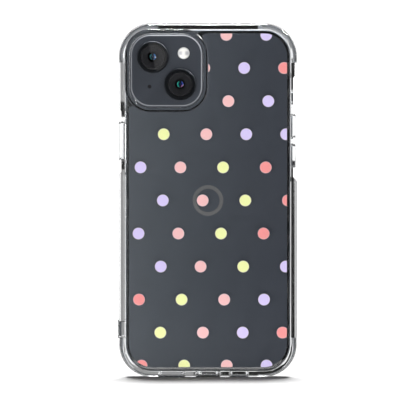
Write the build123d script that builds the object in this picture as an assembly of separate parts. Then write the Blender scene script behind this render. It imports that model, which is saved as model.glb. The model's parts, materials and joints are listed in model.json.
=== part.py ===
"""A smartphone with two rear cameras in a clear two-material protective case.

Frame: millimetres, +Z up. The phone stands on the case's bottom edge with its back to -Y and its
screen to +Y. The origin is the middle of the bottom edge, midway through the whole thickness.
A plan outline is drawn in (X, Z) about the phone's centre and made solid along Y, so every (x, z)
place below counts from the phone's centre.
"""
from build123d import *
import math
import os

# ---------------------------------------------------------------- driving dimensions
PHONE_W, PHONE_H, PHONE_T = 71.6, 147.6, 7.8
PHONE_R = 11.5                      # corner radius in plan
EDGE_R = 1.1                        # rounded edges of the aluminium band
WALL = 2.7                          # case wall outside the phone
PANEL_T = 1.3                       # hard back panel of the case
BACK_RIM = 0.3                      # soft rim proud of the back panel
SCREEN_LIP = 0.8                    # soft lip proud of the screen
CAMERA_GUARD = 4.0                  # camera surround, from the phone's back to its rim
FIT = 0.12                          # gap between phone and case
SLIP = 0.1                          # gap round a moving piece
PAST = 1.0                          # how far a cutting solid runs past what it cuts
HAIR = 0.02                         # gap between pieces glued or pressed together

# ---------------------------------------------------------------- levels through the thickness
DEPTH = SCREEN_LIP + PHONE_T + CAMERA_GUARD
CASE_FRONT = DEPTH / 2
CAMERA_RIM = -DEPTH / 2
PHONE_FRONT = CASE_FRONT - SCREEN_LIP
PHONE_BACK = PHONE_FRONT - PHONE_T
MID_Y = (PHONE_FRONT + PHONE_BACK) / 2
PANEL_IN = PHONE_BACK - FIT         # the panel's inner face
PANEL_OUT = PANEL_IN - PANEL_T
CASE_BACK = PANEL_OUT - BACK_RIM
GLASS_T = 0.7                       # back glass
GLASS_IN = PHONE_BACK + GLASS_T
PLATE_BACK, PLATE_T = PHONE_BACK + 5.0, 0.6     # mid plate of the chassis
PLATE_FRONT = PLATE_BACK + PLATE_T
FRONT_GLASS_T, SEAL_T = 0.75, 0.15
SCREEN_BACK = PHONE_FRONT - FRONT_GLASS_T
SEAL_BACK = SCREEN_BACK - SEAL_T

# ---------------------------------------------------------------- outlines
CASE_W, CASE_H = PHONE_W + 2 * WALL, PHONE_H + 2 * WALL
CASE_R = PHONE_R + WALL
MID_Z = CASE_H / 2
PHONE_SIDE, PHONE_TOP = PHONE_W / 2, PHONE_H / 2
CASE_SIDE = CASE_W / 2
BAND_T = 2.6                        # thickness of the band at its middle
BAND_IN = PHONE_SIDE - BAND_T
GLASS_INSET = 1.3                   # from the phone's edge to its two glasses

# ---------------------------------------------------------------- camera island
ISLAND, ISLAND_R, ISLAND_RISE = 30.8, 8.5, 1.6
ISLAND_AT = (-17.9, 56.1)
ISLAND_OUT = PHONE_BACK - ISLAND_RISE
LENS_STEP = 5.9                     # each lens, from the island's centre, in X and Z
MAIN_AT = (ISLAND_AT[0] - LENS_STEP, ISLAND_AT[1] + LENS_STEP)
WIDE_AT = (ISLAND_AT[0] + LENS_STEP, ISLAND_AT[1] - LENS_STEP)
FLASH_AT = (ISLAND_AT[0] + 7.4, ISLAND_AT[1] + 7.5)
REAR_MIC_AT = (ISLAND_AT[0] - 7.3, ISLAND_AT[1] - 6.9)
GUARD_GAP, GUARD_T = 0.4, 2.2       # camera surround of the case

# ---------------------------------------------------------------- controls on the sides
BUTTON_WIDE, BUTTON_PROUD, BUTTON_TRAVEL, BUTTON_PLAY = 3.0, 0.4, 0.3, 0.06
VOLUME_LEN, POWER_LEN = 10.0, 16.2
VOLUME_UP_Z, VOLUME_DOWN_Z, POWER_Z = 31.9, 19.1, 25.5
BUTTONS = ((1, VOLUME_UP_Z, VOLUME_LEN), (1, VOLUME_DOWN_Z, VOLUME_LEN), (-1, POWER_Z, POWER_LEN))
COVER_EXTRA = 0.7                   # a case cover is this much longer than its button
COVER_WIDE, COVER_R, COVER_PROUD = 4.2, 1.2, 1.2
VOLUME_RECESS, VOLUME_RECESS_ENDS = 1.8, (54.4, 8.6)
POWER_RECESS, POWER_RECESS_ENDS = 1.1, (39.4, 11.4)
SWITCH_Z, SWITCH_TRAVEL = 44.5, 1.2
SWITCH_LEN, SWITCH_WIDE, SWITCH_PROUD = 4.6, 1.5, 0.6
SWITCH_WINDOW = (5.0, 6.4)          # opening in the case, across and along

# ---------------------------------------------------------------- bottom edge
USB_W, USB_T, USB_DEEP, USB_WALL = 8.94, 3.2, 6.6, 0.3
GRILLE_R, GRILLE_PITCH = 0.7, 2.2
SPEAKER_X0, SPEAKER_COUNT = -11.6, 5
MIC_X0, MIC_COUNT = 11.2, 3
SCREW_X, SCREW_R = 7.4, 1.1
CASE_SLOTS = ((-21.6, -9.9, 3.2), (-5.5, 5.5, 5.8), (9.1, 17.6, 3.2))   # x from, x to, width


# ================================================================ helpers
def plan(y):
    """Plane of the plan outlines at depth y: local x is X, local y is Z above the phone's centre."""
    return Plane(origin=(0, y, MID_Z), x_dir=(1, 0, 0), z_dir=(0, -1, 0))


def slab(outline, back, front):
    """A plan outline made solid between two depths."""
    return extrude(plan(front) * outline, amount=front - back)


def rail(outline, left, right):
    """An outline in (Y, Z) made solid from X left to X right."""
    plane = Plane(origin=(left, 0, MID_Z), x_dir=(0, 1, 0), z_dir=(1, 0, 0))
    return extrude(plane * outline, amount=right - left)


def side_rail(side, outline, inner, outer):
    """A rail on the +X or -X side, between two distances from the middle."""
    return rail(outline, *sorted((side * inner, side * outer)))


def tower(outline, low, high):
    """An outline in (X, Y) made solid between two heights."""
    return extrude(Plane.XY.offset(MID_Z + low) * outline, amount=high - low)


def block(x, y, z):
    """A box from three (low, high) pairs."""
    centre = ((x[0] + x[1]) / 2, (y[0] + y[1]) / 2, MID_Z + (z[0] + z[1]) / 2)
    return Pos(*centre) * Box(x[1] - x[0], y[1] - y[0], z[1] - z[0])


def about(middle, size):
    """The (low, high) pair of a length centred on a point."""
    return (middle - size / 2, middle + size / 2)


def grown(pair, extra):
    return (pair[0] - extra, pair[1] + extra)


def disc(at, radius, back, front):
    """A round slab about a place in the plan."""
    return slab(Pos(*at) * Circle(radius), back, front)


def ring(at, outer, inner, back, front):
    return disc(at, outer, back, front) - disc(at, inner, back - PAST, front + PAST)


def phone_outline(inset=0.0):
    """The phone's plan outline, drawn in by inset, or let out where that is negative."""
    return RectangleRounded(PHONE_W - 2 * inset, PHONE_H - 2 * inset, PHONE_R - inset)


def island_outline(grow=0.0):
    side = ISLAND + 2 * grow
    return Pos(*ISLAND_AT) * RectangleRounded(side, side, ISLAND_R + grow)


def back_face(solid):
    return solid.faces().sort_by(Axis.Y)[0]


def outer_face(solid, side):
    """The face furthest out on the +X or -X side."""
    return solid.faces().sort_by(Axis.X)[-1 if side > 0 else 0]


def soften(solid, back, front):
    """Rounds the edges of a slab's back and front faces."""
    solid = fillet(back_face(solid).edges(), back)
    return fillet(solid.faces().sort_by(Axis.Y)[-1].edges(), front)


def save(name, shape):
    export_step(Compound(children=list(shape.solids())), f"parts/{name}.step")


# ================================================================ the case
PANEL_INSET, PANEL_R = 1.7, 9.9     # from the phone's edge to the panel's, and its corners
TONGUE, TONGUE_T = 1.0, 0.6         # edge of the panel that the soft bumper is moulded over
WEB_R = 1.6                         # where the panel's edge meets the camera surround
BUMPER_ROUND = (2.5, 2.2)           # rounding of the bumper's back and front edges
GUARD_ROUND, GUARD_INNER_ROUND = 0.9, 0.5
CAVITY_ROUND = 0.6                  # inner edges of the space for the phone
LIP_OVER = 0.9                      # how far the lip laps the phone's front
POCKET, POCKET_REACH, POCKET_FROM_FACE = 1.1, 17.0, 1.6     # air pockets inside the corners
STEP_SLOPE = 1.6                    # slope at the ends of a thinned stretch of wall
BOSS_PROUD, BOSS_LEN, BOSS_WIDE, BOSS_Z = 0.5, 8.2, 6.0, -55.7
CORD_HOLE, CORD_POST, CORD_WIDE, CORD_DEEP = 2.2, 2.2, 2.4, 1.3     # lanyard holes
CORD_CHANNEL = CORD_POST + 2 * CORD_HOLE - 0.6
COVER_LIFT = 0.05                   # gap between a button and its cover


def panel_outline(grow=0.0):
    """The back panel's outline: rounded, less the corner that the camera surround takes."""
    half_w, half_h = PHONE_SIDE - PANEL_INSET + grow, PHONE_TOP - PANEL_INSET + grow
    sheet = RectangleRounded(2 * half_w, 2 * half_h, PANEL_R + grow)
    sheet = sheet - island_outline(GUARD_GAP + GUARD_T - grow)
    largest = sheet.faces().sort_by(SortBy.AREA)[-1]
    on_top = [v for v in largest.vertices() if abs(v.Y - half_h) < HAIR and v.X < 0]
    on_left = [v for v in largest.vertices() if abs(v.X + half_w) < HAIR and v.Y > 0]
    return fillet(on_top + on_left, WEB_R)


def case_panel():
    """Hard back panel, with a thinner tongue all round inside the bumper."""
    face = slab(panel_outline(), PANEL_OUT, PANEL_IN)
    return face + slab(panel_outline(TONGUE), PANEL_IN - TONGUE_T, PANEL_IN)


def step_in(side, depth, ends):
    """The cut that thins the wall beside a button, with sloping ends."""
    top, bottom = ends
    inner, outer = side * (CASE_SIDE - depth), side * (CASE_SIDE + PAST)
    rise = STEP_SLOPE * depth / 2
    points = [
        (outer, top + STEP_SLOPE), (inner, top - rise), (inner, bottom + rise), (outer, bottom - STEP_SLOPE),
    ]
    return slab(make_face(Polyline(*points, close=True)), CASE_BACK - PAST, CASE_FRONT + PAST)


def camera_guard():
    """Raised collar of the bumper round the camera island."""
    collar = slab(island_outline(GUARD_GAP + GUARD_T), CAMERA_RIM, PANEL_IN)
    collar = fillet(back_face(collar).edges(), GUARD_ROUND)
    collar -= slab(island_outline(GUARD_GAP), CAMERA_RIM - PAST, PANEL_IN + PAST)
    return fillet(back_face(collar).inner_wires()[0].edges(), GUARD_INNER_ROUND)


def lanyard_boss():
    left = -CASE_SIDE - BOSS_PROUD
    boss = rail(Pos(MID_Y, BOSS_Z) * RectangleRounded(BOSS_WIDE, BOSS_LEN, 1.0), left, left + WALL / 2)
    return fillet(outer_face(boss, -1).edges(), 0.4)


def lanyard_holes():
    """Two holes through the left wall, joined behind a post."""
    through = (PHONE_SIDE - PAST, CASE_SIDE + 2 * PAST)
    holes = []
    for sign in (-1, 1):
        at = Pos(MID_Y, BOSS_Z + sign * (CORD_POST + CORD_HOLE) / 2)
        holes.append(side_rail(-1, at * RectangleRounded(CORD_WIDE, CORD_HOLE, 0.8), *through))
    channel = Pos(MID_Y, BOSS_Z) * Rectangle(CORD_WIDE, CORD_CHANNEL)
    return holes + [side_rail(-1, channel, PHONE_SIDE - PAST, PHONE_SIDE + CORD_DEEP)]


def corner_pockets():
    """Air pockets in the inner wall at the four corners."""
    hollow = slab(phone_outline(-POCKET - FIT), PHONE_BACK + POCKET_FROM_FACE, PHONE_FRONT - POCKET_FROM_FACE)
    pockets = []
    for sx in (-1, 1):
        for sz in (-1, 1):
            x = sorted((sx * CASE_SIDE, sx * (CASE_SIDE - POCKET_REACH)))
            z = sorted((sz * MID_Z, sz * (MID_Z - POCKET_REACH)))
            pockets.append(hollow & block(x, (CAMERA_RIM, CASE_FRONT), z))
    return pockets


def side_windows():
    """Openings in the side walls for the button covers and the switch."""
    through = (PHONE_SIDE - PAST, CASE_SIDE + PAST)
    cuts = []
    for side, z, length in BUTTONS:
        size = (COVER_WIDE + 2 * SLIP, length + COVER_EXTRA + 2 * SLIP)
        cuts.append(side_rail(side, Pos(MID_Y, z) * RectangleRounded(*size, COVER_R + SLIP), *through))
    window = Pos(MID_Y, SWITCH_Z) * RectangleRounded(*SWITCH_WINDOW, 1.8)
    return cuts + [side_rail(1, window, *through)]


def bottom_slots():
    cuts = []
    for low, high, wide in CASE_SLOTS:
        slot = Pos((low + high) / 2, MID_Y) * RectangleRounded(high - low, wide, wide / 2 - HAIR)
        cuts.append(tower(slot, -MID_Z - PAST, -PHONE_TOP + PAST))
    return cuts


def case_bumper(panel):
    """Soft clear frame: walls, lip, camera guard and rim, in one moulding."""
    body = slab(RectangleRounded(CASE_W, CASE_H, CASE_R), CASE_BACK, CASE_FRONT)
    body = soften(body, *BUMPER_ROUND)
    body -= step_in(1, VOLUME_RECESS, VOLUME_RECESS_ENDS)
    body -= step_in(-1, POWER_RECESS, POWER_RECESS_ENDS)
    body += lanyard_boss()
    body -= soften(slab(phone_outline(-FIT), PANEL_IN, PHONE_FRONT + FIT), CAVITY_ROUND, CAVITY_ROUND)
    body -= slab(phone_outline(LIP_OVER), PHONE_FRONT, CASE_FRONT + PAST)
    body -= slab(island_outline(GUARD_GAP), CAMERA_RIM - PAST, PANEL_IN + PAST)
    body += camera_guard()
    body -= slab(panel_outline(), CASE_BACK - PAST, PANEL_IN + PAST)
    body -= panel
    for cut in corner_pockets() + side_windows() + lanyard_holes() + bottom_slots():
        body -= cut
    return body


def button_cover(side, z, length, recess):
    """The soft pad over a button: it fills its window and stands proud of the thinned wall."""
    outline = Pos(MID_Y, z) * RectangleRounded(COVER_WIDE, length + COVER_EXTRA, COVER_R)
    inner = PHONE_SIDE + BUTTON_PROUD + COVER_LIFT
    pad = side_rail(side, outline, inner, CASE_SIDE - recess + COVER_PROUD)
    return fillet(outer_face(pad, side).edges(), COVER_PROUD / 2)


# ================================================================ the print
DOT_R, BASE_RIM = 2.55, 0.12        # a dot, and the white under-print showing round it
INK_T = 0.04
ROW_PITCH, TOP_ROW_Z = 14.29, 71.5
GAP, GAP_BY_YELLOW = 17.2, 18.4     # centre to centre along a row
PRINT_MARGIN = 0.05
# Each row: x of its first dot, and its colours from left to right.
# L lavender, P pink, Y yellow, C coral.
PRINT_ROWS = [
    (7.9, "PL"), (-1.6, "PLC"), (8.8, "PL"), (-19.1, "YPLL"), (-29.1, "LPYC"), (-19.5, "LPYC"),
    (-30.0, "LPYC"), (-20.4, "LPYL"), (-29.8, "CYPL"), (-20.6, "YPLC"), (-28.7, "CYPL"),
]


def dot_places():
    """(colour, x, z) of every dot: rows one pitch apart, dots spaced by their colours."""
    places = []
    for row, (x, colours) in enumerate(PRINT_ROWS):
        for i, colour in enumerate(colours):
            if i:
                x += GAP_BY_YELLOW if "Y" in (colour, colours[i - 1]) else GAP
            places.append((colour, x, TOP_ROW_Z - row * ROW_PITCH))
    return places


def printed(colours, radius, back, front):
    """The dots of these colours as thin discs, cut off where the panel ends."""
    limit = slab(panel_outline(-PRINT_MARGIN), back - PAST, front + PAST)
    pieces = []
    for colour, x, z in dot_places():
        if colour in colours:
            pieces += (disc((x, z), radius, back, front) & limit).solids()
    return Compound([piece for piece in pieces if piece.volume > INK_T * HAIR])


# ================================================================ the phone's shell
ANTENNA_W, ANTENNA_SIDE_Z, ANTENNA_END_X = 1.3, 59.5, 22.5
ANTENNA_DEEP = BAND_T + 0.3
PILL_W, PILL_H, PILL_Z = 20.8, 6.2, 62.6            # opening for the front camera
EARPIECE_W, EARPIECE_H = 10.0, 0.7                  # slot between the screen and the band
EARPIECE_X, EARPIECE_Y, EARPIECE_Z = (-5.5, 5.5), (1.0, 4.4), (68.6, 70.9)
FLANGE_T, FLANGE_WIDE, FLANGE_EXTRA, FLANGE_GAP = 0.5, 3.5, 0.5, 0.1
FLANGE_OUT = BAND_IN - FLANGE_GAP
CONTACT_GAP, CONTACT_T, DOME_T, DOME_R, CONTACT_Y = 0.05, 0.4, 0.3, 1.1, (0.0, 2.6)
CONTACT_FACE = FLANGE_OUT - FLANGE_T - BUTTON_TRAVEL - CONTACT_GAP
CONTACT_IN = CONTACT_FACE - DOME_T - CONTACT_T
SWITCH_REST_Y = MID_Y + SWITCH_TRAVEL / 2
SWITCH_FOOT_T, SWITCH_FOOT_Y, SWITCH_BASE_T, SWITCH_BASE_LEN = 0.7, 2.0, 1.0, 6.0
SWITCH_FOOT_OUT = BAND_IN - 0.2
SWITCH_BASE_IN = SWITCH_FOOT_OUT - SWITCH_FOOT_T - SLIP - SWITCH_BASE_T
FLEX_X, FLEX_Z, FLEX_T = (14.0, 22.0), (-47.5, -39.0), 0.25
USB_BACK_T = 0.8
EMBLEM_R, EMBLEM_LINE, INLAY_T = 6.6, 1.6, 0.12
ISLAND_ROUND, ISLAND_SHELL = 0.75, 0.8


def band_hollow():
    """Everything inside the band: two glass seats and two cavities, with the mid plate between."""
    return (
        slab(phone_outline(GLASS_INSET), PHONE_BACK - PAST, GLASS_IN)
        + slab(phone_outline(BAND_T), GLASS_IN, PLATE_BACK)
        + slab(phone_outline(BAND_T), PLATE_FRONT, SEAL_BACK)
        + slab(phone_outline(GLASS_INSET), SEAL_BACK, PHONE_FRONT + PAST)
    )


def antenna_cuts():
    """Thin slices across the band, where plastic breaks divide it."""
    through = (PHONE_BACK - PAST, PHONE_FRONT + PAST)
    cuts = []
    for sx in (-1, 1):
        for sz in (-1, 1):
            x = sorted((sx * (PHONE_SIDE - ANTENNA_DEEP), sx * (PHONE_SIDE + PAST)))
            cuts.append(block(x, through, about(sz * ANTENNA_SIDE_Z, ANTENNA_W)))
    for sign in (-1, 1):
        z = sorted((sign * (PHONE_TOP - ANTENNA_DEEP), sign * (PHONE_TOP + PAST)))
        cuts.append(block(about(sign * ANTENNA_END_X, ANTENNA_W), through, z))
    return cuts


def button_openings():
    """A hole through the band for each button, and room in the plate for its flange."""
    cuts = []
    for side, z, length in BUTTONS:
        gap = BUTTON_WIDE + 2 * BUTTON_PLAY
        hole = Pos(MID_Y, z) * RectangleRounded(gap, length + 2 * BUTTON_PLAY, gap / 2 - HAIR)
        cuts.append(side_rail(side, hole, FLANGE_OUT - FLANGE_T, PHONE_SIDE + PAST))
        room = Pos(MID_Y, z) * Rectangle(FLANGE_WIDE + 2 * SLIP, length + 2 * FLANGE_EXTRA + 4 * SLIP)
        cuts.append(side_rail(side, room, CONTACT_IN - SLIP, BAND_IN))
    return cuts


def switch_opening():
    wide = SWITCH_WIDE + SWITCH_TRAVEL + 2 * SLIP
    slot = Pos(MID_Y, SWITCH_Z) * RectangleRounded(wide, SWITCH_LEN + 2 * SLIP, 0.7)
    room = Pos(MID_Y, SWITCH_Z) * Rectangle(PLATE_FRONT - GLASS_IN, SWITCH_BASE_LEN + 4 * SLIP)
    return [
        side_rail(1, slot, BAND_IN - PAST, PHONE_SIDE + PAST),
        side_rail(1, room, SWITCH_BASE_IN - SLIP, BAND_IN),
    ]


def bottom_openings():
    """Port, grille holes and screw holes through the bottom of the band."""
    foot = (-PHONE_TOP - PAST, -PHONE_TOP + BAND_T + PAST)
    cuts = [tower(Pos(0, MID_Y) * RectangleRounded(USB_W, USB_T, USB_T / 2 - HAIR), *foot)]
    places = [(SPEAKER_X0 - i * GRILLE_PITCH, GRILLE_R) for i in range(SPEAKER_COUNT)]
    places += [(MIC_X0 + i * GRILLE_PITCH, GRILLE_R) for i in range(MIC_COUNT)]
    places += [(-SCREW_X, SCREW_R), (SCREW_X, SCREW_R)]
    return cuts + [tower(Pos(x, MID_Y) * Circle(radius), *foot) for x, radius in places]


def plate_openings():
    """Windows in the mid plate for what runs through it."""
    through = grown((PLATE_BACK, PLATE_FRONT), SLIP)
    pill = Pos(0, PILL_Z) * RectangleRounded(PILL_W + 4 * SLIP, PILL_H + 4 * SLIP, PILL_H / 2)
    port_top = -PHONE_TOP + USB_DEEP + USB_BACK_T + 4 * SLIP
    return [
        slab(pill, *through),
        block(grown(EARPIECE_X, 2 * SLIP), through, grown(EARPIECE_Z, 2 * SLIP)),
        block(about(0, USB_W + 4 * SLIP), through, (-PHONE_TOP + BAND_T - SLIP, port_top)),
        block(grown(FLEX_X, 2 * SLIP), through, (FLEX_Z[0] - 2 * SLIP, FLEX_Z[0] + FLEX_T + 2 * SLIP)),
    ]


def chassis_and_bands():
    """The aluminium band with its mid plate, and the plastic antenna breaks in it."""
    blank = soften(slab(phone_outline(), PHONE_BACK, PHONE_FRONT), EDGE_R, EDGE_R)
    band = blank - band_hollow()
    cuts = antenna_cuts()
    strips = [strip for cut in cuts for strip in (band & cut).solids()]
    for cut in cuts + button_openings() + switch_opening() + bottom_openings() + plate_openings():
        band -= cut
    return band, Compound(strips)


def emblem(play=0.0):
    """A plain ring set flush in the back glass."""
    outer, inner = EMBLEM_R + play, EMBLEM_R - EMBLEM_LINE - play
    return ring((0, 0), outer, inner, PHONE_BACK, PHONE_BACK + INLAY_T + play)


def back_glass():
    """One sheet of glass, raised into the camera island."""
    sheet = slab(phone_outline(GLASS_INSET + HAIR), PHONE_BACK, GLASS_IN)
    island = slab(island_outline(), ISLAND_OUT, PHONE_BACK + HAIR)
    sheet += fillet(back_face(island).edges(), ISLAND_ROUND)
    sheet -= slab(island_outline(-ISLAND_SHELL), ISLAND_OUT + GLASS_T, GLASS_IN + PAST)
    for at, radius in ((MAIN_AT, NECK_R), (WIDE_AT, NECK_R), (FLASH_AT, FLASH_R), (REAR_MIC_AT, REAR_MIC_R)):
        sheet -= disc(at, radius + HAIR, ISLAND_OUT - PAST, GLASS_IN + PAST)
    return sheet - emblem(HAIR / 2)


# ================================================================ cameras
BEZEL_R, NECK_R, BORE_R = 6.8, 6.2, 5.4             # metal ring round a lens
BEZEL_OUT, BEZEL_ROUND = PHONE_BACK - 3.6, 0.35
PANE_R, PANE_T, PANE_SUNK = 6.2, 0.6, 0.2           # cover glass
PANE_OUT = BEZEL_OUT + PANE_SUNK
FOCUS_TRAVEL = 0.3
BARREL_R, BARREL_IN = 5.2, 0.9
BARREL_OUT = PANE_OUT + PANE_T + FOCUS_TRAVEL + SLIP
FUNNEL = ((4.4, 0.5), (3.7, 1.0), (3.0, 1.5), (2.3, 2.1))   # radius and depth of each step
LENS_R, LENS_RISE, LENS_BORE_R = 2.25, 0.9, 1.3
CAN_BACK = ISLAND_OUT + GLASS_T + 0.05
CAN_BORE_R, CAN_FLOOR, SENSOR_SIDE, SENSOR_T = BARREL_R + 0.15, 1.3, 7.0, 0.5
MAIN_CAN, WIDE_CAN, CAN_R = 12.2, 11.3, 0.8
FLASH_R, REAR_MIC_R = 2.55, 0.8
LED_SIDE, LED_T, MIC_T, MIC_RIM = 4.4, 0.5, 0.8, 0.6
FRONT_LENS_X, FRONT_LENS_R, FRONT_LENS_T = 6.6, 1.6, 0.5
DOT_SENSOR_X, DOT_SENSOR_R = -6.0, 1.3


def camera_bezel(at):
    """Metal ring with a neck through the glass and a seat for the cover glass."""
    collar = ring(at, BEZEL_R, BORE_R, BEZEL_OUT, ISLAND_OUT)
    collar = fillet(back_face(collar).outer_wire().edges(), BEZEL_ROUND)
    neck = ring(at, NECK_R, BORE_R, ISLAND_OUT, ISLAND_OUT + GLASS_T)
    return collar + neck - disc(at, PANE_R + HAIR, BEZEL_OUT - PAST, PANE_OUT + PANE_T)


def camera_cover(at):
    return disc(at, PANE_R, PANE_OUT, PANE_OUT + PANE_T)


def lens_barrel(at):
    """Black barrel with a stepped funnel round the front lens."""
    barrel = disc(at, BARREL_R, BARREL_OUT, BARREL_IN)
    for radius, deep in FUNNEL:
        barrel -= disc(at, radius, BARREL_OUT - PAST, BARREL_OUT + deep)
    return barrel - disc(at, LENS_BORE_R, BARREL_OUT, BARREL_IN + PAST)


def front_lens(at):
    """The domed lens at the bottom of the funnel."""
    seat = BARREL_OUT + FUNNEL[-1][1]
    ball_r = (LENS_R ** 2 + LENS_RISE ** 2) / (2 * LENS_RISE)
    ball = Pos(at[0], seat - LENS_RISE + ball_r, MID_Z + at[1]) * Sphere(ball_r)
    return ball & disc(at, LENS_R, seat - LENS_RISE - PAST, seat)


def camera_housing(at, side):
    """Can of a camera, open towards the lens, with room for the barrel and the sensor."""
    can = slab(Pos(*at) * RectangleRounded(side, side, CAN_R), CAN_BACK, PLATE_BACK)
    can -= disc(at, CAN_BORE_R, CAN_BACK - PAST, CAN_FLOOR)
    room = SENSOR_SIDE + 2 * SLIP
    return can - slab(Pos(*at) * Rectangle(room, room), CAN_FLOOR - SLIP, CAN_FLOOR + SENSOR_T)


def camera_sensor(at):
    return slab(Pos(*at) * Rectangle(SENSOR_SIDE, SENSOR_SIDE), CAN_FLOOR + HAIR, CAN_FLOOR + SENSOR_T)


def flash_lens():
    return disc(FLASH_AT, FLASH_R, ISLAND_OUT, ISLAND_OUT + GLASS_T)


def flash_led():
    return slab(Pos(*FLASH_AT) * Rectangle(LED_SIDE, LED_SIDE), CAN_BACK, CAN_BACK + LED_T)


def rear_microphone():
    return disc(REAR_MIC_AT, REAR_MIC_R + MIC_RIM, CAN_BACK, CAN_BACK + MIC_T)


# ================================================================ buttons and switch
BUTTON_ROUND, FLANGE_R, SWITCH_R, SWITCH_ROUND = 0.25, 0.8, 0.5, 0.3
SWITCH_BASE_BACK = GLASS_IN + 1.0


def side_button(side, z, length):
    """Metal cap through the band, with a flange inside that holds it in."""
    outline = RectangleRounded(BUTTON_WIDE, length, BUTTON_WIDE / 2 - HAIR)
    cap = side_rail(side, Pos(MID_Y, z) * outline, FLANGE_OUT, PHONE_SIDE + BUTTON_PROUD)
    cap = fillet(outer_face(cap, side).edges(), BUTTON_ROUND)
    flange = Pos(MID_Y, z) * RectangleRounded(FLANGE_WIDE, length + 2 * FLANGE_EXTRA, FLANGE_R)
    return cap + side_rail(side, flange, FLANGE_OUT - FLANGE_T, FLANGE_OUT)


def button_contact(side, z, length):
    """Tactile switch strip behind a button, clear of the flange at full travel."""
    strip = block(sorted((side * CONTACT_IN, side * (CONTACT_IN + CONTACT_T))), CONTACT_Y, about(z, length))
    dome = Pos(sum(CONTACT_Y) / 2, z) * Circle(DOME_R)
    return strip + side_rail(side, dome, CONTACT_FACE - DOME_T, CONTACT_FACE)


def ring_switch():
    """Lever that slides through the thickness, with a wider foot inside the band."""
    outline = Pos(SWITCH_REST_Y, SWITCH_Z) * RectangleRounded(SWITCH_WIDE, SWITCH_LEN, SWITCH_R)
    lever = rail(outline, SWITCH_FOOT_OUT, PHONE_SIDE + SWITCH_PROUD)
    lever = fillet(outer_face(lever, 1).edges(), SWITCH_ROUND)
    foot = (SWITCH_FOOT_OUT - SWITCH_FOOT_T, SWITCH_FOOT_OUT)
    return lever + block(foot, about(SWITCH_REST_Y, SWITCH_FOOT_Y), about(SWITCH_Z, SWITCH_BASE_LEN - 2 * SLIP))


def switch_base():
    """The slide switch that the lever's foot rides on."""
    x = (SWITCH_BASE_IN, SWITCH_BASE_IN + SWITCH_BASE_T)
    return block(x, (SWITCH_BASE_BACK, PLATE_BACK), about(SWITCH_Z, SWITCH_BASE_LEN))


# ================================================================ screen side
SCREEN_GAP, SCREEN_ROUND = 0.05, 0.25
SEAL_LAP = 0.2                      # how far the seal reaches past the band's ledge
DISPLAY_GAP, DISPLAY_INSET = 0.1, 0.25
NOTCH_X, NOTCH_DEEP = (-12.0, 12.0), 5.6
FRONT_CAMERA_DEEP = 2.0             # reach of the front camera behind the mid plate


def earpiece_slot(shrink, back, front):
    at = Pos(0, PHONE_TOP - GLASS_INSET - EARPIECE_H / 2)
    return slab(at * Rectangle(EARPIECE_W - shrink, EARPIECE_H - shrink), back, front)


def front_glass():
    sheet = slab(phone_outline(GLASS_INSET + SCREEN_GAP), SCREEN_BACK, PHONE_FRONT)
    sheet = fillet(sheet.faces().sort_by(Axis.Y)[-1].edges(), SCREEN_ROUND)
    return sheet - earpiece_slot(0, SCREEN_BACK - PAST, PHONE_FRONT + PAST)


def screen_seal():
    inner = slab(phone_outline(BAND_T - SEAL_LAP), SEAL_BACK - PAST, SCREEN_BACK + PAST)
    return slab(phone_outline(GLASS_INSET + SLIP), SEAL_BACK, SCREEN_BACK) - inner


def display_panel():
    """Display, with a notch for the earpiece and an opening for the front camera."""
    panel = slab(phone_outline(BAND_T + DISPLAY_INSET), PLATE_FRONT + DISPLAY_GAP, SCREEN_BACK - HAIR)
    pill = Pos(0, PILL_Z) * RectangleRounded(PILL_W, PILL_H, PILL_H / 2 - HAIR)
    notch = block(NOTCH_X, (PLATE_FRONT, SCREEN_BACK), (PHONE_TOP - NOTCH_DEEP, PHONE_TOP))
    return panel - notch - slab(pill, PLATE_BACK, PHONE_FRONT)


def front_camera():
    """Front camera and sensors, behind the pill-shaped opening of the display."""
    size = (PILL_W - 4 * SLIP, PILL_H - 4 * SLIP)
    outline = Pos(0, PILL_Z) * RectangleRounded(*size, size[1] / 2 - HAIR)
    head = slab(outline, PLATE_BACK - FRONT_CAMERA_DEEP, SCREEN_BACK - HAIR)
    head -= disc((FRONT_LENS_X, PILL_Z), FRONT_LENS_R, PLATE_FRONT + PLATE_T, PHONE_FRONT)
    return head - disc((DOT_SENSOR_X, PILL_Z), DOT_SENSOR_R, PLATE_FRONT + PAST, PHONE_FRONT)


def front_camera_lens():
    back = PLATE_FRONT + PLATE_T
    return disc((FRONT_LENS_X, PILL_Z), FRONT_LENS_R - HAIR, back, back + FRONT_LENS_T)


def earpiece():
    return block(EARPIECE_X, EARPIECE_Y, EARPIECE_Z)


# ================================================================ inside the phone
COIL_OUT, COIL_T, COIL_R, COIL_HOLE_R, COIL_Z = GLASS_IN + 0.05, 0.45, 21.5, 9.5, -6.0
COIL_IN = COIL_OUT + COIL_T
MAGNET_COUNT, MAGNET_IN, MAGNET_OUT = 18, 23.2, 27.0
MAGNET_ARC, MAGNET_GAP, MAGNET_START = 330, 2.0, -75    # degrees
CELL_BACK = COIL_IN + 0.15
CELL_X, CELL_Z, CELL_R = (-30.4, 0.6), (-44.0, 40.0), 0.8
BOARD_BACK = PLATE_BACK - 0.8
BOARD_X, BOARD_Z = (2.6, 29.5), (-40.0, 57.5)
BOARD_ARM_X, BOARD_ARM_Z = (-4.8, 2.7), (43.0, 57.5)
BOARD_SCREWS = ((4.2, -38.4), (28.0, -38.4), (4.2, 40.9), (28.0, 56.0), (-3.2, 56.0))
CANS = (((5.0, 27.5), (-30.0, 8.0)), ((5.0, 27.5), (10.0, 38.5)), ((-0.8, 25.5), (44.2, 54.2)))
CAN_WALL = 0.2
CHIPS = (((9, 23), (-6, 6)), ((9, 20), (-24, -12)), ((9, 22), (16, 28)), ((4, 14), (46, 52.5)))
CHIP_T = 1.3
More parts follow.
